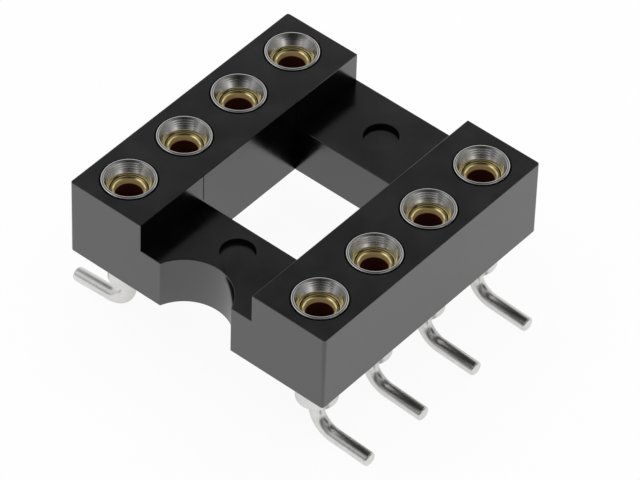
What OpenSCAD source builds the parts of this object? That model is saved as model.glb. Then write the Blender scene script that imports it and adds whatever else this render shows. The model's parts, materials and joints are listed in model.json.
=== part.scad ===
// Dual-in-line socket with turned contacts and tails bent outwards for surface mounting.
// Millimetres. +Z is up, X runs across the two rows and Y along them, with the index notch at the -Y end.
// The origin is on the board, under the middle of the socket.

/* [Layout] */
// Contacts in each of the two rows
contacts_per_row = 4; // [3:1:12]
// Distance between neighbouring contacts of a row
pitch = 2.54; // [2.4:0.02:3]
// Distance between the two rows
row_spacing = 7.62; // [7:0.02:10.2]
// Height of the moulding's underside above the board
standoff = 2.85; // [2.5:0.05:3.5]

/* [Insulator] */
// Height of the rails
body_h = 2.9; // [2.7:0.05:4]
// From a row's centreline to the outer face of its rail
rail_outer = 1.27; // [1.1:0.01:1.6]
// From a row's centreline to the inner face of its rail
rail_inner = 1.59; // [1.1:0.01:1.8]
// From the last contact of a row to the end of the rail
end_margin = 1.27; // [1.1:0.01:1.6]
// Length of each crossbar along the rails
crossbar_l = 2.9; // [2.5:0.05:3.2]
// Height of the crossbars, from the underside
crossbar_h = 1.82; // [1.2:0.02:2.3]
// Radius of the upright corners of the moulding
corner_r = 0.1; // [0.05:0.01:0.25]
// Radius of the index notch
notch_r = 1.5; // [1.2:0.05:1.6]
// Depth of the index notch at its middle
notch_depth = 1; // [0.6:0.05:1.2]
// Radius of the ejector mark on each crossbar
ejector_r = 0.57; // [0.3:0.01:0.6]
// Depth of the ejector marks
ejector_depth = 0.15; // [0.05:0.01:0.2]

/* [Sleeve] */
// Radius of the head that sits in the rail's top
head_r = 0.875; // [0.85:0.005:0.95]
// Height of the head
head_h = 0.6; // [0.5:0.05:0.9]
// How far the head's rim stands above the rail
rim_stand = 0.045; // [0:0.005:0.1]
// Gap around the head in its counterbore
head_clearance = 0.045; // [0.03:0.005:0.08]
// Radius of the barrel that is pressed in the rail
barrel_r = 0.75; // [0.7:0.01:0.82]
// Gap that stands for a press fit: barrel in rail, clip in sleeve
press_clearance = 0.01; // [0.005:0.005:0.02]
// Radius of the closed shank under the moulding
shank_r = 0.67; // [0.5:0.01:0.7]
// Length of the shank under the moulding
shank_l = 1.28; // [1:0.02:1.5]
// Chamfer on the sleeve's outer edges
sleeve_chamfer = 0.03; // [0.01:0.01:0.05]
// Radius of the funnel at the rim
funnel_r = 0.78; // [0.72:0.01:0.83]
// Depth of the funnel
funnel_depth = 0.38; // [0.3:0.02:0.6]
// Radius of the bore that holds the clip
bore_r = 0.6; // [0.58:0.01:0.62]
// Depth of the bore's wall below the rim
bore_depth = 2.6; // [2.5:0.05:2.8]
// Point angle of the drill that made the bore
drill_angle = 118; // [90:1:140]

/* [Tail] */
// Radius of the tail's round wire
tail_r = 0.24; // [0.2:0.01:0.3]
// Radius of the bend, at the middle of the wire
bend_r = 0.8; // [0.5:0.05:0.95]
// Slope of the foot below the level
foot_tilt = 3.5; // [1:0.5:6]
// Distance between the tips of opposite feet
lead_span = 12; // [11:0.1:13.5]
// Chamfer at the tip of the foot
tip_chamfer = 0.07; // [0.02:0.01:0.12]

/* [Clip] */
// Radius of the clip's mouth
clip_r = 0.44; // [0.36:0.01:0.44]
// Thickness of the clip's wall
clip_wall = 0.085; // [0.065:0.005:0.12]
// Gap between the foot of the funnel and the clip's lip
lip_drop = 0.06; // [0.01:0.01:0.1]
// Length of the clip's plain collar
collar_l = 0.65; // [0.6:0.05:0.8]
// Width of the lip's flat outer edge
lip_edge = 0.01; // [0.005:0.005:0.02]
// Depth of the lip's dished face
lip_dish = 0.03; // [0.01:0.005:0.05]
// Width of the tapered lead-in around the mouth
lead_in_w = 0.02; // [0.01:0.005:0.04]
// Depth of the tapered lead-in
lead_in_h = 0.16; // [0.05:0.005:0.2]
// Height of the ring that grips the sleeve's bore
press_ring_h = 0.28; // [0.15:0.01:0.3]
// Slope height at both edges of the press ring
press_ring_slope = 0.06; // [0.03:0.01:0.08]
// Spring fingers of each clip
fingers = 4; // [3:1:6]
// Length of the fingers below the collar
finger_l = 1.3; // [1:0.05:1.4]
// Radius between the finger tips at rest
finger_gap_r = 0.15; // [0.1:0.01:0.2]
// Thickness of the fingers at their tips
finger_tip_wall = 0.06; // [0.04:0.01:0.08]
// Width of the slots between the fingers
slot_w = 0.12; // [0.08:0.01:0.14]
// Height of the whole ring that is left above the slots
slot_root = 0.1; // [0.05:0.01:0.2]

/* [Hidden] */
contacts = 2 * contacts_per_row;
$fn = 64;
cut = 0.2;  // how far a cutting solid runs past the face it opens
tail_join = 0.04;  // how far the tail's straight lengths run on into the shank and the bend
bend_swell = 0.002;  // how much thicker the bend is, so that they stay inside it

body_w = row_spacing + 2 * rail_outer;
body_l = (contacts_per_row - 1) * pitch + 2 * end_margin;
window_w = row_spacing - 2 * rail_inner;
window_l = body_l - 2 * crossbar_l;
body_z = standoff + body_h;
rim_z = body_z + rim_stand;
crossbar_z = standoff + crossbar_h;
head_z = rim_z - head_h;
shank_z = standoff - shank_l;
bore_z = rim_z - bore_depth;
drill_tip_h = bore_r / tan(drill_angle / 2);
funnel_z = rim_z - funnel_depth;

// the foot's chamfered tip touches the board, and its end reaches half the span
bend_turn = 90 - foot_tilt;
foot_x = bend_r * (1 - sin(foot_tilt));
foot_reach = (lead_span - row_spacing) / 2 - foot_x - (tail_r - tip_chamfer) * sin(foot_tilt);
foot_l = foot_reach / cos(foot_tilt);
foot_z = (foot_l - tip_chamfer) * sin(foot_tilt) + tail_r * cos(foot_tilt);
bend_z = foot_z + bend_r * cos(foot_tilt);

lip_z = funnel_z - lip_drop;
collar_z = lip_z - collar_l;
finger_z = collar_z - finger_l;
lip_r = clip_r + clip_wall;
press_ring_r = bore_r - press_clearance;
mouth_z = lip_z - lip_dish - lead_in_h;
press_ring_top = mouth_z - press_ring_slope;

// rows are numbered like the pins of a circuit: up the +X row, then back down the -X row
function on_first_row(i) = i < contacts_per_row;
function step_along(i) = on_first_row(i) ? i : contacts - 1 - i;
function contact_x(i) = (on_first_row(i) ? 1 : -1) * row_spacing / 2;
function contact_y(i) = (step_along(i) - (contacts_per_row - 1) / 2) * pitch;

// puts a contact's piece on its axis, with its tail pointing away from the other row
module at_contact(i) {
    translate([contact_x(i), contact_y(i), 0])
        rotate([0, 0, on_first_row(i) ? 0 : 180])
            children();
}

// a flat rectangle about the origin with round corners
module rounded_plate(w, l, r) {
    square([w - 2 * r, l], center = true);
    square([w, l - 2 * r], center = true);
    for (sx = [-1, 1], sy = [-1, 1])
        translate([sx * (w / 2 - r), sy * (l / 2 - r)])
            circle(r);
}

// the moulding's outline: round corners, the square window, and the index notch bitten out of the -Y end
module body_outline() {
    difference() {
        rounded_plate(body_w, body_l, corner_r);
        square([window_w, window_l], center = true);
        translate([0, -body_l / 2 - notch_r + notch_depth])
            circle(notch_r);
    }
}

// the hole for one sleeve: barrel hole right through, counterbore for the head
module sleeve_hole() {
    translate([0, 0, standoff - cut])
        cylinder(h = body_h + 2 * cut, r = barrel_r + press_clearance);
    translate([0, 0, head_z])
        cylinder(h = body_z - head_z + cut, r = head_r + head_clearance);
}

// the shallow mark that an ejector pin leaves in the middle of a crossbar's flat top
module ejector_mark(y) {
    translate([0, y, crossbar_z - ejector_depth])
        cylinder(h = ejector_depth + cut, r = ejector_r);
}

module insulator() {
    plain_bar_y = (window_l / 2 + body_l / 2) / 2;
    notched_bar_y = (window_l / 2 + body_l / 2 - notch_depth) / 2;
    color("#26272a")
        difference() {
            translate([0, 0, standoff])
                linear_extrude(body_h)
                    body_outline();
            translate([-window_w / 2, -body_l / 2 - cut, crossbar_z])
                cube([window_w, body_l + 2 * cut, body_h]);
            ejector_mark(plain_bar_y);
            ejector_mark(-notched_bar_y);
            for (i = [0 : contacts - 1])
                at_contact(i)
                    sleeve_hole();
        }
}

// half-section of the turned sleeve, from the rim down its outside and back up its bore
module sleeve_section() {
    polygon([
        [funnel_r, rim_z],
        [head_r - sleeve_chamfer, rim_z],
        [head_r, rim_z - sleeve_chamfer],
        [head_r, head_z],
        [barrel_r, head_z],
        [barrel_r, standoff],
        [shank_r, standoff],
        [shank_r, shank_z + sleeve_chamfer],
        [shank_r - sleeve_chamfer, shank_z],
        [0, shank_z],
        [0, bore_z - drill_tip_h],
        [bore_r, bore_z],
        [bore_r, funnel_z]
    ]);
}

// the tail: straight down from the shank, round the bend, and out along the foot
module tail() {
    translate([0, 0, bend_z - tail_join])
        cylinder(h = shank_z - bend_z + 2 * tail_join, r = tail_r);
    translate([bend_r, 0, bend_z])
        rotate([90, 0, 0])
            rotate([0, 0, 180])
                rotate_extrude(angle = bend_turn)
                    translate([bend_r, 0])
                        circle(tail_r + bend_swell);
    translate([foot_x, 0, foot_z])
        rotate([0, 90 + foot_tilt, 0])
            rotate_extrude()
                polygon([
                    [0, -tail_join],
                    [tail_r, -tail_join],
                    [tail_r, foot_l - tip_chamfer],
                    [tail_r - tip_chamfer, foot_l],
                    [0, foot_l]
                ]);
}

module sleeve(i) {
    color("#c3c2bd")
        at_contact(i) {
            rotate_extrude()
                sleeve_section();
            tail();
        }
}

// half-section of the clip: dished lip, lead-in and press ring, then the fingers leaning inwards
module clip_section() {
    polygon([
        [clip_r + lead_in_w, lip_z - lip_dish],
        [lip_r - lip_edge, lip_z],
        [lip_r, lip_z],
        [lip_r, press_ring_top + press_ring_slope],
        [press_ring_r, press_ring_top],
        [press_ring_r, press_ring_top - press_ring_h],
        [lip_r, press_ring_top - press_ring_h - press_ring_slope],
        [lip_r, collar_z],
        [finger_gap_r + finger_tip_wall, finger_z],
        [finger_gap_r, finger_z],
        [clip_r, collar_z],
        [clip_r, mouth_z]
    ]);
}

module clip(i) {
    color("#c9a64b")
        at_contact(i)
            difference() {
                rotate_extrude()
                    clip_section();
                for (k = [0 : fingers - 1])
                    rotate([0, 0, (k + 0.5) * 360 / fingers])
                        translate([0, -slot_w / 2, finger_z - cut])
                            cube([bore_r, slot_w, finger_l - slot_root + cut]);
            }
}

insulator();
for (i = [0 : contacts - 1]) {
    sleeve(i);
    clip(i);
}
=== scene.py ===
import json
import math

import bmesh
import bpy
from mathutils import Matrix, Vector


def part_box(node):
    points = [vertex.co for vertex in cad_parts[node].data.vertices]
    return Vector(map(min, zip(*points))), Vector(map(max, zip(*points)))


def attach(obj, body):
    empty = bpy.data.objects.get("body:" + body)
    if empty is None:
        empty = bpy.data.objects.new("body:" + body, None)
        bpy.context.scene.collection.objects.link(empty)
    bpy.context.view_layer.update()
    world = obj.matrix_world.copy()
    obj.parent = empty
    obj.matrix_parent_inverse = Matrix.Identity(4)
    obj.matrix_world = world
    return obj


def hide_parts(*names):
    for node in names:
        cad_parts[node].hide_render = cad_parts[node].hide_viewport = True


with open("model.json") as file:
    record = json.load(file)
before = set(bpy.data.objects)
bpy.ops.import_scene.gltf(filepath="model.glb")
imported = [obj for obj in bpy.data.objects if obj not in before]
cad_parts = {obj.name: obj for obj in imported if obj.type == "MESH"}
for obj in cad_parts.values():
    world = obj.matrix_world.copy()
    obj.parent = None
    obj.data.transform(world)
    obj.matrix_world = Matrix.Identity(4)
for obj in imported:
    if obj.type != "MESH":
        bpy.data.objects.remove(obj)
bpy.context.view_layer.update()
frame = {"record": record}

# Shapes are modelled in millimetres and scaled to metres when a piece is finished.
MM = 0.001

# The moulding, whose outer size comes from the frame
BODY_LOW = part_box("insulator")[0] / MM
BODY_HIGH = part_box("insulator")[1] / MM
STANDOFF = BODY_LOW.z
BODY_TOP = BODY_HIGH.z
CORNER_R = 0.1
CORNER_STEPS = 6
EDGE_R = 0.025
EDGE_STEPS = 4
EDGE_ANGLE = math.radians(40)
WINDOW_HALF_W = 2.22
WINDOW_HALF_L = 2.18
CROSSBAR_H = 1.82
CROSSBAR_Z = STANDOFF + CROSSBAR_H
NOTCH_R = 1.5
NOTCH_DEPTH = 1.0
EJECTOR_R = 0.57
EJECTOR_DEPTH = 0.15
WITNESS_W = 0.035
WITNESS_DEPTH = 0.03
WITNESS_FOOT = 2 * EDGE_R
HOLE_SIDES = 96
BODY_SHARP_ANGLE = math.radians(35)
FLAT_FACE_AREA = 0.3 * MM ** 2
FLAT_FACE_WEIGHT = 100

# How far a cutter stands out of what it cuts, and how close points are merged after a cut
CUT = 0.2
CUT_MERGE = 1e-5

# The turned sleeve, whose rim stands a little above the rails
RIM_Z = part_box("sleeve_1")[1].z / MM
RIM_ROUND = 0.044
HEAD_R = 0.875
HEAD_DEPTH = 0.6
HEAD_Z = RIM_Z - HEAD_DEPTH
HEAD_CLEARANCE = 0.045
BARREL_R = 0.75
PRESS_CLEARANCE = 0.01
SHANK_R = 0.67
SHANK_LENGTH = 1.28
SHANK_Z = STANDOFF - SHANK_LENGTH
SHANK_ROUND = 0.04
FUNNEL_R = 0.78
FUNNEL_DEPTH = 0.38
FUNNEL_Z = RIM_Z - FUNNEL_DEPTH
FUNNEL_STEPS = 64
FUNNEL_FOOT_ROUND = 0.22
FUNNEL_FOOT_STEPS = 8
BORE_R = 0.6
BORE_DEPTH = 2.6
BORE_Z = RIM_Z - BORE_DEPTH
DRILL_HALF_ANGLE = math.radians(59)
ROUND_STEPS = 4
TURN_STEPS = 128
TURN_MERGE = 1e-6
TURNED_SHARP_ANGLE = math.radians(40)

# Tool marks in the funnels: how deep each sleeve's are, as a share of the deepest
TOOL_MARK_DEPTH = 0.0022
TOOL_MARK_PITCH = 0.075
TOOL_MARK_LENGTH = 0.3
TOOL_MARK_SHARES = (0.35, 1.0, 0.8, 0.75, 0.12, 0.18, 0.55, 0.75)

# The tail of round wire
TAIL_R = 0.24
TAIL_ROOT_ROUND = 0.015
BEND_R = 0.8
BEND_STEPS = 24
FOOT_TILT = math.radians(3.5)
LEAD_HALF_SPAN = 6.0
TIP_ROUND = 0.07
TIP_STEPS = 4

# The spring clip
CLIP_R = 0.44
CLIP_WALL = 0.085
LIP_SINK = 0.06
LIP_Z = FUNNEL_Z - LIP_SINK
LIP_DISH_W = 0.055
LIP_DISH = 0.03
LIP_ROUND = 0.02
BRIM_GAP = 0.025
BRIM_R = BORE_R - BRIM_GAP
BRIM_H = 0.04
BRIM_ROUND = 0.008
LEAD_IN_W = 0.02
LEAD_IN_H = 0.16
MOUTH_Z = LIP_Z - LIP_DISH - LEAD_IN_H
COLLAR_H = 0.65
COLLAR_Z = LIP_Z - COLLAR_H
PRESS_RING_H = 0.28
PRESS_RING_SLOPE = 0.06
FINGER_LENGTH = 1.3
FINGER_Z = COLLAR_Z - FINGER_LENGTH
FINGER_GAP_R = 0.15
FINGER_TIP_WALL = 0.06
SLOT_W = 0.12
SLOT_ROOT = 0.1
SLOT_TOP = COLLAR_Z - SLOT_ROOT

# The black moulding's finish, with its relief in millimetres
MOULDING_DARK = (0.0004, 0.0005, 0.0006, 1)
MOULDING_LIGHT = (0.0022, 0.0024, 0.0027, 1)
# Painted shade: the near-black that the moulding shows in mirrors in place of its gloss
MOULDING_PAINTED_SHADE_IN_MIRRORS = (0.01, 0.01, 0.01, 1)
MOULDING_IOR = 1.95
MOULDING_ROUGHNESS = (0.13, 0.23)
MOULDING_GRAIN_ROUGHNESS = (-0.03, 0.05)
MOULDING_WAVE = 0.001
MOULDING_GRAIN = 0.00008

# The tin's finish: satin on the tail and bright in the funnel, with the relief of its streaks in millimetres
TIN_DARK = (0.74, 0.735, 0.72, 1)
TIN_LIGHT = (0.81, 0.805, 0.79, 1)
TIN_TAIL_ROUGHNESS = 0.30
TIN_FUNNEL_ROUGHNESS = 0.11
TIN_STREAK_ROUGHNESS = (-0.03, 0.05)
TIN_STREAK = 0.00001

# The gold's finish on the lip and in the mouth, with the heights in millimetres over which each fades,
# and the painted shade, a dark brown, below the mouth
GOLD_LIP = (0.95, 0.80, 0.36, 1)
GOLD_LIP_ROUGHNESS = 0.08
GOLD_LIP_METALLIC = 1.0
GOLD_LIP_FADE = 0.02
GOLD_MOUTH = (0.94, 0.72, 0.36, 1)
GOLD_MOUTH_ROUGHNESS = 0.75
GOLD_MOUTH_METALLIC = 0.7
GOLD_MOUTH_FADE = 0.03
# Painted shade: a dark brown deep in the clip, below the mouth
CLIP_DEPTH_PAINTED_SHADE = (0.085, 0.02, 0.01, 1)

# Most of a noise lies between these values.
NOISE_LOW = 0.3
NOISE_HIGH = 0.7

# The camera, which looks at a point in the window
CAMERA_TARGET = Vector((1.296, -0.803, 4.3)) * MM
CAMERA_DISTANCE = 0.16799
CAMERA_AZIMUTH = math.radians(39.075)
CAMERA_ELEVATION = math.radians(45.016)
CAMERA_ROLL = math.radians(1.875)
CAMERA_LENS = 310.27
CAMERA_SENSOR = 36.0
CAMERA_CLIP_START = 0.005

# The surround's levels on the far side, at both sides and on the camera's side, each by the angle above
# the horizon in degrees
FAR_LEVELS = (
    (5, 0.80), (15, 0.85), (25, 0.80), (35, 0.45), (45, 0.12), (55, 0.05), (66, 0.06), (80, 0.02),
)
SIDE_LEVELS = (
    (5, 0.45), (15, 0.54), (25, 0.70), (35, 0.84), (45, 0.84), (55, 0.60), (66, 0.16), (80, 0.02),
)
CAMERA_LEVELS = (
    (5, 0.01), (15, 0.02), (25, 0.20), (35, 0.29), (45, 0.30), (55, 0.22), (66, 0.10), (80, 0.02),
)

# A softbox at the left and a dark card at the right, with soft edges between two angles from their middles
SOFTBOX_AZIMUTH = math.radians(-92)
SOFTBOX_ELEVATION = math.radians(58)
SOFTBOX_INNER = math.radians(5)
SOFTBOX_OUTER = math.radians(16)
SOFTBOX_LEVEL = 0.42
CARD_AZIMUTH = math.radians(84)
CARD_ELEVATION = math.radians(28)
CARD_INNER = math.radians(16)
CARD_OUTER = math.radians(26)
CARD_LEVEL = 0.05

# The fill overhead, and the floor with its glow to the eye and in mirrors
FILL_HEIGHT = 0.35
FILL_SIZE = 0.5
FILL_WATTS = 1.1
FLOOR_HALF = 0.5
FLOOR_ALBEDO = 0.9
FLOOR_GLOW = 0.93
FLOOR_GLOW_MIRRORED = 0.65


def arc_corner(before, corner, after, radius, steps):
    """Points of a round corner of the given radius where two straight lines meet."""
    to_before = (before - corner).normalized()
    to_after = (after - corner).normalized()
    half = to_before.angle(to_after) / 2
    reach = radius / math.tan(half)
    centre = corner + (to_before + to_after).normalized() * (radius / math.sin(half))
    start = corner + to_before * reach - centre
    end = corner + to_after * reach - centre
    turn = start.angle_signed(end)
    points = []
    for k in range(steps + 1):
        angle = -turn * k / steps
        points.append(centre + Matrix.Rotation(angle, 2) @ start)
    return points


def rounded_outline(corners):
    """An outline through (radius, height, rounding) corners, with each rounding as an arc."""
    points = []
    for k, (x, z, rounding) in enumerate(corners):
        here = Vector((x, z))
        if rounding == 0:
            points.append(here)
            continue
        before = Vector(corners[k - 1][:2])
        after = Vector(corners[(k + 1) % len(corners)][:2])
        points.extend(arc_corner(before, here, after, rounding, ROUND_STEPS))
    return points


def add_outline(bm, points, closed):
    """Joins points of an outline with edges in the plane y = 0."""
    verts = [bm.verts.new((p.x, 0, p.y)) for p in points]
    edges = [bm.edges.new(pair) for pair in zip(verts, verts[1:])]
    if closed:
        edges.append(bm.edges.new((verts[-1], verts[0])))
    return verts + edges


def turn_on_axis(bm, geom, steps):
    """Turns an outline once round the upright axis into a skin."""
    bmesh.ops.spin(
        bm, geom=geom, cent=(0, 0, 0), axis=(0, 0, 1), dvec=(0, 0, 0),
        angle=math.tau, steps=steps, use_merge=True, use_duplicate=False,
    )
    bmesh.ops.remove_doubles(bm, verts=bm.verts, dist=TURN_MERGE)


def add_block(bm, low, high):
    """A block between two corners."""
    low = Vector(low)
    high = Vector(high)
    place = Matrix.Translation((low + high) / 2) @ Matrix.Diagonal((*(high - low), 1))
    bmesh.ops.create_cube(bm, size=1, matrix=place)


def add_drum(bm, x, y, radius, bottom, top):
    """An upright cylinder."""
    place = Matrix.Translation((x, y, (bottom + top) / 2))
    bmesh.ops.create_cone(
        bm, cap_ends=True, cap_tris=False, segments=HOLE_SIDES,
        radius1=radius, radius2=radius, depth=top - bottom, matrix=place,
    )


def round_edges(bm, edges, radius, steps):
    """Rounds edges by a radius."""
    bmesh.ops.bevel(
        bm, geom=edges, offset=radius, offset_type="OFFSET", segments=steps,
        profile=0.5, affect="EDGES", material=-1, clamp_overlap=True,
    )


def loose_object(name, bm):
    """An object in millimetres, used only while a piece is being shaped."""
    mesh = bpy.data.meshes.new(name)
    bm.to_mesh(mesh)
    bm.free()
    made = bpy.data.objects.new(name, mesh)
    bpy.context.scene.collection.objects.link(made)
    return made


def cut_away(blank, cutters):
    """Cuts each cutter's volume out of a blank, and gives back the result as a bmesh."""
    shape = loose_object("blank", blank)
    for cutter_bm in cutters:
        cutter = loose_object("cutter", cutter_bm)
        modifier = shape.modifiers.new("cut", "BOOLEAN")
        modifier.operation = "DIFFERENCE"
        modifier.solver = "EXACT"
        modifier.object = cutter
        graph = bpy.context.evaluated_depsgraph_get()
        result = bpy.data.meshes.new_from_object(shape.evaluated_get(graph))
        shape.modifiers.clear()
        shape.data = result
        bpy.data.objects.remove(cutter)
    bm = bmesh.new()
    bm.from_mesh(shape.data)
    bpy.data.objects.remove(shape)
    return bm


def finish_piece(name, bm, material, node, sharp_angle):
    """Scales a shape to metres and makes it the piece that stands for a node of the frame."""
    bmesh.ops.recalc_face_normals(bm, faces=bm.faces)
    if bm.calc_volume(signed=True) < 0:
        bmesh.ops.reverse_faces(bm, faces=bm.faces)
    bm.transform(Matrix.Scale(MM, 4))
    mesh = bpy.data.meshes.new(name)
    bm.to_mesh(mesh)
    bm.free()
    mesh.materials.append(material)
    for face in mesh.polygons:
        face.use_smooth = True
    mesh.set_sharp_from_angle(angle=sharp_angle)
    piece = bpy.data.objects.new(name, mesh)
    bpy.context.scene.collection.objects.link(piece)
    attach(piece, "root")
    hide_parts(node)
    return piece


def contact_places():
    """Number, x and y of each contact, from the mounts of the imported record."""
    places = []
    for mount in frame["record"]["mounts"]:
        kind, _, number = mount["name"].rpartition("_")
        if kind == "contact":
            x, y, _ = mount["pos_m"]
            places.append((int(number), x / MM, y / MM))
    return places


def moulding_frame():
    """The moulding without its holes: two rails joined by two lower crossbars, with a notch in one end."""
    blank = bmesh.new()
    add_block(blank, BODY_LOW, BODY_HIGH)
    uprights = [e for e in blank.edges if e.verts[0].co.z != e.verts[1].co.z]
    round_edges(blank, uprights, CORNER_R, CORNER_STEPS)

    through = bmesh.new()
    low = (-WINDOW_HALF_W, -WINDOW_HALF_L, STANDOFF - CUT)
    high = (WINDOW_HALF_W, WINDOW_HALF_L, BODY_TOP + CUT)
    add_block(through, low, high)
    notch_y = BODY_LOW.y - NOTCH_R + NOTCH_DEPTH
    add_drum(through, 0, notch_y, NOTCH_R, STANDOFF - CUT, BODY_TOP + CUT)

    channel = bmesh.new()
    low = (-WINDOW_HALF_W, BODY_LOW.y - CUT, CROSSBAR_Z)
    high = (WINDOW_HALF_W, BODY_HIGH.y + CUT, BODY_TOP + CUT)
    add_block(channel, low, high)

    bm = cut_away(blank, (through, channel))
    bmesh.ops.remove_doubles(bm, verts=bm.verts, dist=CUT_MERGE)
    bmesh.ops.recalc_face_normals(bm, faces=bm.faces)
    outer_edges = [e for e in bm.edges if e.calc_face_angle_signed(0) > EDGE_ANGLE]
    round_edges(bm, outer_edges, EDGE_R, EDGE_STEPS)
    return bm


def moulding_cutters(contacts):
    """What is cut from the frame: holes and seats for the sleeves, ejector marks and witness lines."""
    holes = bmesh.new()
    for _, x, y in contacts:
        add_drum(holes, x, y, BARREL_R + PRESS_CLEARANCE, STANDOFF - CUT, BODY_TOP + CUT)

    seats = bmesh.new()
    for _, x, y in contacts:
        add_drum(seats, x, y, HEAD_R + HEAD_CLEARANCE, HEAD_Z, BODY_TOP + CUT)

    marks = bmesh.new()
    plain_bar_y = (WINDOW_HALF_L + BODY_HIGH.y) / 2
    notched_bar_y = -(WINDOW_HALF_L + BODY_HIGH.y - NOTCH_DEPTH) / 2
    for y in (plain_bar_y, notched_bar_y):
        add_drum(marks, 0, y, EJECTOR_R, CROSSBAR_Z - EJECTOR_DEPTH, CROSSBAR_Z + CUT)

    witness = bmesh.new()
    for x in (-WINDOW_HALF_W, WINDOW_HALF_W):
        for y in (-WINDOW_HALF_L, WINDOW_HALF_L):
            low = (x - WITNESS_DEPTH, y - WITNESS_W / 2, CROSSBAR_Z + WITNESS_FOOT)
            high = (x + WITNESS_DEPTH, y + WITNESS_W / 2, BODY_TOP + CUT)
            add_block(witness, low, high)
    return holes, seats, marks, witness


def make_insulator(material, contacts):
    """The moulding, with its large faces shaded flat and its round ones smooth."""
    bm = cut_away(moulding_frame(), moulding_cutters(contacts))
    piece = finish_piece("moulded_body", bm, material, "insulator", BODY_SHARP_ANGLE)
    for face in piece.data.polygons:
        face.use_smooth = face.area < FLAT_FACE_AREA
    weighted = piece.modifiers.new("flat_faces_stay_flat", "WEIGHTED_NORMAL")
    weighted.keep_sharp = True
    weighted.weight = FLAT_FACE_WEIGHT


def foot_length(row_x):
    """Length of the straight foot, so that its tip ends at half the span."""
    reach = LEAD_HALF_SPAN - row_x - BEND_R * (1 - math.sin(FOOT_TILT))
    reach -= (TAIL_R - TIP_ROUND) * math.sin(FOOT_TILT)
    return reach / math.cos(FOOT_TILT)


def bend_height(row_x):
    """Height at which the tail starts to bend, so that the tip of the foot touches the board."""
    foot_z = (foot_length(row_x) - TIP_ROUND) * math.sin(FOOT_TILT) + TAIL_R * math.cos(FOOT_TILT)
    return foot_z + BEND_R * math.cos(FOOT_TILT)


def funnel_points(foot, rim, clear, mark_share):
    """The funnel's side from clear of its foot to its rim, with the rings that the turning tool left."""
    side = rim - foot
    inward = Vector((-side.y, side.x)).normalized()
    start = side.length - TOOL_MARK_LENGTH
    points = []
    for k in range(1, FUNNEL_STEPS):
        s = side.length * k / FUNNEL_STEPS
        if s <= clear:
            continue
        ring = 0.0
        if s > start:
            fade = math.sin(math.pi * (s - start) / TOOL_MARK_LENGTH) ** 0.5
            ring = fade * math.sin(math.tau * (s - start) / TOOL_MARK_PITCH)
        points.append(foot + side * (k / FUNNEL_STEPS) + inward * (ring * mark_share * TOOL_MARK_DEPTH))
    return points


def sleeve_outline(row_x, mark_share):
    """Half-section of a sleeve, from the drill point up the bore, over the head and down to the tail."""
    drill_point = Vector((0, BORE_Z - BORE_R / math.tan(DRILL_HALF_ANGLE)))
    bore_foot = Vector((BORE_R, BORE_Z))
    foot = Vector((BORE_R, FUNNEL_Z))
    rim = Vector((FUNNEL_R, RIM_Z))
    foot_arc = arc_corner(bore_foot, foot, rim, FUNNEL_FOOT_ROUND, FUNNEL_FOOT_STEPS)
    clear = (foot_arc[-1] - foot).length
    inside = [drill_point, bore_foot] + foot_arc + funnel_points(foot, rim, clear, mark_share)
    corners = [
        (BORE_R, FUNNEL_Z, 0),
        (FUNNEL_R, RIM_Z, RIM_ROUND),
        (HEAD_R, RIM_Z, RIM_ROUND),
        (HEAD_R, HEAD_Z, 0),
        (BARREL_R, HEAD_Z, 0),
        (BARREL_R, STANDOFF, 0),
        (SHANK_R, STANDOFF, 0),
        (SHANK_R, SHANK_Z, SHANK_ROUND),
        (TAIL_R, SHANK_Z, TAIL_ROOT_ROUND),
        (TAIL_R, bend_height(row_x), 0),
    ]
    # The first corner is the funnel's foot, which the inside has as an arc. Here it only aims the rim's arc.
    outside = rounded_outline(corners)[1:]
    return inside + outside


def open_loop(bm):
    """The edges and vertices of the skin's open end."""
    edges = [e for e in bm.edges if e.is_boundary]
    verts = list({v for e in edges for v in e.verts})
    return edges, verts


def pull_loop(bm, shift, squeeze=1.0):
    """Pulls the open end along by a shift, and squeezes it towards its middle."""
    edges, _ = open_loop(bm)
    pulled = bmesh.ops.extrude_edge_only(bm, edges=edges)["geom"]
    verts = [g for g in pulled if isinstance(g, bmesh.types.BMVert)]
    bmesh.ops.translate(bm, verts=verts, vec=shift)
    middle = sum((v.co for v in verts), Vector()) / len(verts)
    bmesh.ops.scale(bm, verts=verts, vec=(squeeze,) * 3, space=Matrix.Translation(-middle))


def add_tail(bm, row_x):
    """Bends the open end of the sleeve outwards and runs it on to the tip of the foot."""
    edges, verts = open_loop(bm)
    bmesh.ops.spin(
        bm, geom=edges + verts, cent=(BEND_R, 0, bend_height(row_x)), axis=(0, -1, 0), dvec=(0, 0, 0),
        angle=math.pi / 2 - FOOT_TILT, steps=BEND_STEPS, use_merge=False, use_duplicate=False,
    )
    along = Vector((math.cos(FOOT_TILT), 0, -math.sin(FOOT_TILT)))
    pull_loop(bm, along * (foot_length(row_x) - TIP_ROUND))
    radius = TAIL_R
    depth = 0.0
    for k in range(1, TIP_STEPS + 1):
        angle = math.pi / 2 * k / TIP_STEPS
        new_radius = TAIL_R - TIP_ROUND * (1 - math.cos(angle))
        new_depth = TIP_ROUND * math.sin(angle)
        pull_loop(bm, along * (new_depth - depth), new_radius / radius)
        radius = new_radius
        depth = new_depth
    edges, _ = open_loop(bm)
    bmesh.ops.edgeloop_fill(bm, edges=edges)


def put_at_contact(bm, x, y):
    """Turns a contact so that its tail points away from the other row, and moves it to its place."""
    turn = 0 if x > 0 else math.pi
    bm.transform(Matrix.Translation((x, y, 0)) @ Matrix.Rotation(turn, 4, "Z"))


def make_sleeve(number, x, y, material):
    """One turned sleeve with its bent tail."""
    row_x = abs(x)
    bm = bmesh.new()
    geom = add_outline(bm, sleeve_outline(row_x, TOOL_MARK_SHARES[number - 1]), closed=False)
    turn_on_axis(bm, geom, TURN_STEPS)
    add_tail(bm, row_x)
    put_at_contact(bm, x, y)
    finish_piece(f"turned_sleeve_{number}", bm, material, f"sleeve_{number}", TURNED_SHARP_ANGLE)


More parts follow.
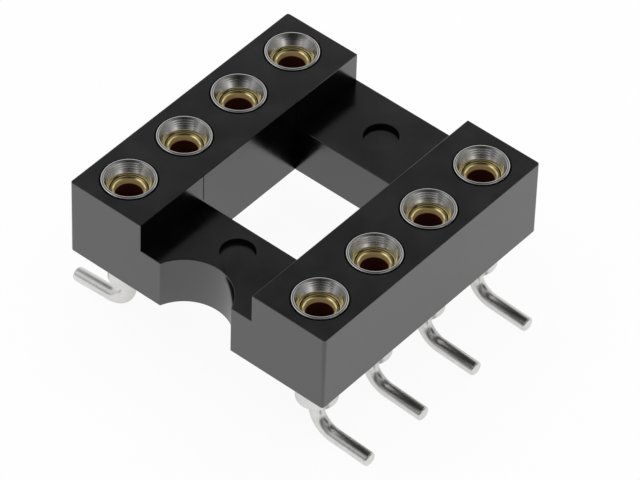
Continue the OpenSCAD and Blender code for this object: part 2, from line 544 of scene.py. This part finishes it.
def clip_outline():
    """Half-section of a clip: lip, brim, press ring, fingers that lean inwards, and the mouth."""
    lip_r = CLIP_R + CLIP_WALL
    dish_r = CLIP_R + LEAD_IN_W
    ring_top = MOUTH_Z - PRESS_RING_SLOPE
    ring_bottom = ring_top - PRESS_RING_H
    ring_r = BORE_R - PRESS_CLEARANCE
    corners = [
        (dish_r, LIP_Z - LIP_DISH, LIP_ROUND),
        (dish_r + LIP_DISH_W, LIP_Z, LIP_ROUND),
        (BRIM_R, LIP_Z, BRIM_ROUND),
        (BRIM_R, LIP_Z - BRIM_H, BRIM_ROUND),
        (lip_r, LIP_Z - BRIM_H, 0),
        (lip_r, ring_top + PRESS_RING_SLOPE, 0),
        (ring_r, ring_top, 0),
        (ring_r, ring_bottom, 0),
        (lip_r, ring_bottom - PRESS_RING_SLOPE, 0),
        (lip_r, COLLAR_Z, 0),
        (FINGER_GAP_R + FINGER_TIP_WALL, FINGER_Z, 0),
        (FINGER_GAP_R, FINGER_Z, 0),
        (CLIP_R, COLLAR_Z, 0),
        (CLIP_R, MOUTH_Z, 0),
    ]
    return rounded_outline(corners)


def make_clip(number, x, y, material):
    """One spring clip, slit crosswise into four fingers."""
    blank = bmesh.new()
    turn_on_axis(blank, add_outline(blank, clip_outline(), closed=True), HOLE_SIDES)
    bmesh.ops.recalc_face_normals(blank, faces=blank.faces)
    slots = []
    for turn in (math.pi / 4, -math.pi / 4):
        slot = bmesh.new()
        add_block(slot, (-BORE_R, -SLOT_W / 2, FINGER_Z - CUT), (BORE_R, SLOT_W / 2, SLOT_TOP))
        slot.transform(Matrix.Rotation(turn, 4, "Z"))
        slots.append(slot)
    bm = cut_away(blank, slots)
    put_at_contact(bm, x, y)
    finish_piece(f"spring_clip_{number}", bm, material, f"clip_{number}", TURNED_SHARP_ANGLE)


def new_material(name):
    """A node material, with its tree and its Principled shader."""
    material = bpy.data.materials.new(name)
    material.use_nodes = True
    tree = material.node_tree
    return material, tree, tree.nodes["Principled BSDF"]


def set_input(tree, socket, given):
    """Links a socket to another node's output, or sets it to a plain value."""
    if isinstance(given, bpy.types.NodeSocket):
        tree.links.new(given, socket)
    else:
        socket.default_value = given


def noise_at(tree, scale, detail, roughness=0.5, stretch=(1, 1, 1)):
    """Noise on the piece's own coordinates, with about scale times stretch features to a millimetre."""
    place = tree.nodes.new("ShaderNodeTexCoord")
    mapping = tree.nodes.new("ShaderNodeMapping")
    mapping.inputs["Scale"].default_value = [s / MM for s in stretch]
    noise = tree.nodes.new("ShaderNodeTexNoise")
    noise.inputs["Scale"].default_value = scale
    noise.inputs["Detail"].default_value = detail
    noise.inputs["Roughness"].default_value = roughness
    tree.links.new(place.outputs["Object"], mapping.inputs["Vector"])
    tree.links.new(mapping.outputs["Vector"], noise.inputs["Vector"])
    return noise.outputs["Fac"]


def remap(tree, value, start, end, first, second, interpolation="LINEAR"):
    """A value that goes from first to second while another goes from start to end."""
    node = tree.nodes.new("ShaderNodeMapRange")
    node.interpolation_type = interpolation
    node.inputs["From Min"].default_value = start
    node.inputs["From Max"].default_value = end
    node.inputs["To Min"].default_value = first
    node.inputs["To Max"].default_value = second
    tree.links.new(value, node.inputs["Value"])
    return node.outputs["Result"]


def spread(tree, noise, low, high):
    """A noise spread over a range of values."""
    return remap(tree, noise, NOISE_LOW, NOISE_HIGH, low, high)


def height_blend(tree, low, high, first, second):
    """A value that goes from first to second between two heights in millimetres."""
    place = tree.nodes.new("ShaderNodeTexCoord")
    split = tree.nodes.new("ShaderNodeSeparateXYZ")
    tree.links.new(place.outputs["Object"], split.inputs[0])
    return remap(tree, split.outputs["Z"], low * MM, high * MM, first, second)


def blend(tree, factor, first, second):
    """A colour or level between two, by a value from 0 to 1."""
    node = tree.nodes.new("ShaderNodeMix")
    node.data_type = "RGBA"
    tree.links.new(factor, node.inputs["Factor"])
    set_input(tree, node.inputs["A"], first)
    set_input(tree, node.inputs["B"], second)
    return node.outputs["Result"]


def value_math(tree, operation, first, second):
    """One step of arithmetic on values."""
    node = tree.nodes.new("ShaderNodeMath")
    node.operation = operation
    tree.links.new(first, node.inputs[0])
    tree.links.new(second, node.inputs[1])
    return node.outputs[0]


def vector_math(tree, operation, first, second=(0, 0, 0)):
    """One step of arithmetic on vectors, the second of them a plain one."""
    node = tree.nodes.new("ShaderNodeVectorMath")
    node.operation = operation
    tree.links.new(first, node.inputs[0])
    node.inputs[1].default_value = second
    return node.outputs


def add_bump(tree, shader, height):
    """Fine relief from a height in metres."""
    bump = tree.nodes.new("ShaderNodeBump")
    bump.inputs["Strength"].default_value = 1
    bump.inputs["Distance"].default_value = 1
    tree.links.new(height, bump.inputs["Height"])
    tree.links.new(bump.outputs["Normal"], shader.inputs["Normal"])


def mix_shaders(tree, factor, first, second):
    """The first shader where the factor is 0, and the second where it is 1."""
    mix = tree.nodes.new("ShaderNodeMixShader")
    tree.links.new(factor, mix.inputs["Fac"])
    tree.links.new(first, mix.inputs[1])
    tree.links.new(second, mix.inputs[2])
    return mix.outputs[0]


def add_shaders(tree, first, second):
    """Both shaders together."""
    both = tree.nodes.new("ShaderNodeAddShader")
    tree.links.new(first, both.inputs[0])
    tree.links.new(second, both.inputs[1])
    return both.outputs[0]


def diffuse(tree, colour):
    """A matt shader of one colour."""
    node = tree.nodes.new("ShaderNodeBsdfDiffuse")
    node.inputs["Color"].default_value = colour
    return node.outputs[0]


def moulding_finish():
    """Black semi-gloss moulding: faces a little wavy, gloss that varies in patches, a fine grain, and
    painted shade in mirrors.
    """
    material, tree, shader = new_material("black_moulding")
    patches = noise_at(tree, scale=0.9, detail=3)
    grain = noise_at(tree, scale=24, detail=4)
    waves = noise_at(tree, scale=1.1, detail=2)

    colour = blend(tree, spread(tree, patches, 0, 1), MOULDING_DARK, MOULDING_LIGHT)
    tree.links.new(colour, shader.inputs["Base Color"])
    in_patches = spread(tree, patches, *MOULDING_ROUGHNESS)
    in_grain = spread(tree, grain, *MOULDING_GRAIN_ROUGHNESS)
    tree.links.new(value_math(tree, "ADD", in_patches, in_grain), shader.inputs["Roughness"])
    shader.inputs["IOR"].default_value = MOULDING_IOR
    wave_height = spread(tree, waves, 0, MOULDING_WAVE * MM)
    grain_height = spread(tree, grain, 0, MOULDING_GRAIN * MM)
    add_bump(tree, shader, value_math(tree, "ADD", wave_height, grain_height))

    # Painted shade in mirrors: a near-black matt colour replaces the gloss for mirror rays. It stands in for
    # one black face hardly mirroring what another has mirrored, because that light is polarised.
    path = tree.nodes.new("ShaderNodeLightPath")
    mirrored = diffuse(tree, MOULDING_PAINTED_SHADE_IN_MIRRORS)
    surface = mix_shaders(tree, path.outputs["Is Glossy Ray"], shader.outputs[0], mirrored)
    tree.links.new(surface, tree.nodes["Material Output"].inputs["Surface"])
    return material


def tin_finish():
    """Tin plating: bright in the funnel, satin on the shank and tail, with fine streaks."""
    material, tree, shader = new_material("bright_tin")
    cloud = noise_at(tree, scale=3, detail=3)
    streak = noise_at(tree, scale=1, detail=4, roughness=0.6, stretch=(6, 40, 6))

    colour = blend(tree, spread(tree, cloud, 0, 1), TIN_DARK, TIN_LIGHT)
    tree.links.new(colour, shader.inputs["Base Color"])
    shader.inputs["Metallic"].default_value = 1
    satin = height_blend(tree, HEAD_Z, FUNNEL_Z, TIN_TAIL_ROUGHNESS, TIN_FUNNEL_ROUGHNESS)
    in_streaks = spread(tree, streak, *TIN_STREAK_ROUGHNESS)
    tree.links.new(value_math(tree, "ADD", satin, in_streaks), shader.inputs["Roughness"])
    add_bump(tree, shader, spread(tree, streak, 0, TIN_STREAK * MM))
    return material


def gold_finish():
    """Gold flash on the spring clip: bright on the lip, satin in the mouth, and painted shade in dark brown
    further down.
    """
    material, tree, shader = new_material("gold_flash")
    lip_foot = LIP_Z - LIP_DISH
    on_lip = height_blend(tree, lip_foot - GOLD_LIP_FADE, lip_foot, 0, 1)
    # Below the mouth the colour turns to painted shade
    above_painted_shade = height_blend(tree, MOUTH_Z - GOLD_MOUTH_FADE, MOUTH_Z, 0, 1)

    plating = blend(tree, on_lip, GOLD_MOUTH, GOLD_LIP)
    tree.links.new(blend(tree, above_painted_shade, CLIP_DEPTH_PAINTED_SHADE, plating), shader.inputs["Base Color"])
    roughness = remap(tree, on_lip, 0, 1, GOLD_MOUTH_ROUGHNESS, GOLD_LIP_ROUGHNESS)
    tree.links.new(roughness, shader.inputs["Roughness"])
    metallic = remap(tree, on_lip, 0, 1, GOLD_MOUTH_METALLIC, GOLD_LIP_METALLIC)
    tree.links.new(metallic, shader.inputs["Metallic"])
    return material


def glowing_floor(tree, glow):
    """A floor shader that is part glow, which keeps it white, and part lit, which keeps the shadow."""
    emission = tree.nodes.new("ShaderNodeEmission")
    emission.inputs["Strength"].default_value = glow
    lit = 1 - glow
    return add_shaders(tree, diffuse(tree, (lit, lit, lit, 1)), emission.outputs[0])


def floor_finish():
    """White to the eye and in mirrors, and plainly lit where it throws light on the object."""
    material = bpy.data.materials.new("white_floor")
    material.use_nodes = True
    tree = material.node_tree
    tree.nodes.clear()
    path = tree.nodes.new("ShaderNodeLightPath").outputs
    in_mirrors = value_math(tree, "MAXIMUM", path["Is Glossy Ray"], path["Is Transmission Ray"])
    surface = diffuse(tree, (FLOOR_ALBEDO, FLOOR_ALBEDO, FLOOR_ALBEDO, 1))
    surface = mix_shaders(tree, in_mirrors, surface, glowing_floor(tree, FLOOR_GLOW_MIRRORED))
    surface = mix_shaders(tree, path["Is Camera Ray"], surface, glowing_floor(tree, FLOOR_GLOW))
    output = tree.nodes.new("ShaderNodeOutputMaterial")
    tree.links.new(surface, output.inputs["Surface"])
    return material


def make_floor():
    """The floor, at the height of the board."""
    bm = bmesh.new()
    bmesh.ops.create_grid(bm, x_segments=1, y_segments=1, size=FLOOR_HALF)
    mesh = bpy.data.meshes.new("floor")
    bm.to_mesh(mesh)
    bm.free()
    mesh.materials.append(floor_finish())
    floor = bpy.data.objects.new("floor", mesh)
    bpy.context.scene.collection.objects.link(floor)


def level_ramp(tree, height, levels):
    """The surround's level by height, from pairs of an angle above the horizon and a level."""
    ramp = tree.nodes.new("ShaderNodeValToRGB")
    stops = ramp.color_ramp.elements
    while len(stops) < len(levels):
        stops.new(1)
    for stop, (angle, level) in zip(stops, levels):
        stop.position = math.sin(math.radians(angle))
        stop.color = (level, level, level, 1)
    tree.links.new(height, ramp.inputs["Fac"])
    return ramp.outputs["Color"]


def direction_at(azimuth, elevation):
    """The direction at an azimuth, counted from the camera to its right, and an elevation."""
    turn = CAMERA_AZIMUTH + azimuth
    flat = math.cos(elevation)
    return Vector((flat * math.sin(turn), -flat * math.cos(turn), math.sin(elevation)))


def round_patch(tree, place, middle, inner, outer, around, within):
    """A value that goes smoothly from one around a patch of the surround to another within it."""
    closeness = vector_math(tree, "DOT_PRODUCT", place, middle)["Value"]
    return remap(tree, closeness, math.cos(outer), math.cos(inner), around, within, "SMOOTHSTEP")


def make_surround():
    """The surround: its levels by height and side, with the softbox added and the card taken out."""
    world = bpy.data.worlds.new("surround")
    bpy.context.scene.world = world
    world.use_nodes = True
    tree = world.node_tree
    place = tree.nodes.new("ShaderNodeTexCoord").outputs["Generated"]
    split = tree.nodes.new("ShaderNodeSeparateXYZ")
    tree.links.new(place, split.inputs[0])
    height = split.outputs["Z"]

    flat = vector_math(tree, "MULTIPLY", place, (1, 1, 0))["Vector"]
    heading = vector_math(tree, "NORMALIZE", flat)["Vector"]
    to_camera = vector_math(tree, "DOT_PRODUCT", heading, direction_at(0, 0))["Value"]
    far = remap(tree, to_camera, -1, 0, 1, 0)
    near = remap(tree, to_camera, 0, 1, 0, 1)
    level = level_ramp(tree, height, SIDE_LEVELS)
    level = blend(tree, far, level, level_ramp(tree, height, FAR_LEVELS))
    level = blend(tree, near, level, level_ramp(tree, height, CAMERA_LEVELS))

    card = direction_at(CARD_AZIMUTH, CARD_ELEVATION)
    shade = round_patch(tree, place, card, CARD_INNER, CARD_OUTER, 1, CARD_LEVEL)
    background = tree.nodes["Background"]
    tree.links.new(level, background.inputs["Color"])
    tree.links.new(shade, background.inputs["Strength"])
    softbox = direction_at(SOFTBOX_AZIMUTH, SOFTBOX_ELEVATION)
    glow = round_patch(tree, place, softbox, SOFTBOX_INNER, SOFTBOX_OUTER, 0, SOFTBOX_LEVEL)
    box = tree.nodes.new("ShaderNodeBackground")
    tree.links.new(glow, box.inputs["Strength"])
    both = add_shaders(tree, background.outputs[0], box.outputs[0])
    tree.links.new(both, tree.nodes["World Output"].inputs["Surface"])


def add_fill():
    """A square lamp overhead that shines down on the object and isn't mirrored in it."""
    data = bpy.data.lights.new("fill", "AREA")
    data.size = FILL_SIZE
    data.energy = FILL_WATTS
    fill = bpy.data.objects.new("fill", data)
    fill.location = (0, 0, FILL_HEIGHT)
    fill.visible_glossy = False
    bpy.context.scene.collection.objects.link(fill)


def aim_camera():
    """The camera, at the photograph's viewing angle."""
    data = bpy.data.cameras.new("camera")
    data.sensor_fit = "HORIZONTAL"
    data.sensor_width = CAMERA_SENSOR
    data.lens = CAMERA_LENS
    data.clip_start = CAMERA_CLIP_START
    camera = bpy.data.objects.new("camera", data)
    bpy.context.scene.collection.objects.link(camera)
    turn = Matrix.Rotation(CAMERA_AZIMUTH, 4, "Z")
    tilt = Matrix.Rotation(math.pi / 2 - CAMERA_ELEVATION, 4, "X")
    roll = Matrix.Rotation(CAMERA_ROLL, 4, "Z")
    back = Matrix.Translation((0, 0, CAMERA_DISTANCE))
    camera.matrix_world = Matrix.Translation(CAMERA_TARGET) @ turn @ tilt @ back @ roll
    bpy.context.scene.camera = camera


aim_camera()
make_surround()
add_fill()
make_floor()

moulding = moulding_finish()
tin = tin_finish()
gold = gold_finish()
contacts = contact_places()
make_insulator(moulding, contacts)
for number, x, y in contacts:
    make_sleeve(number, x, y, tin)
    make_clip(number, x, y, gold)

bpy.context.scene.view_settings.view_transform = "Standard"
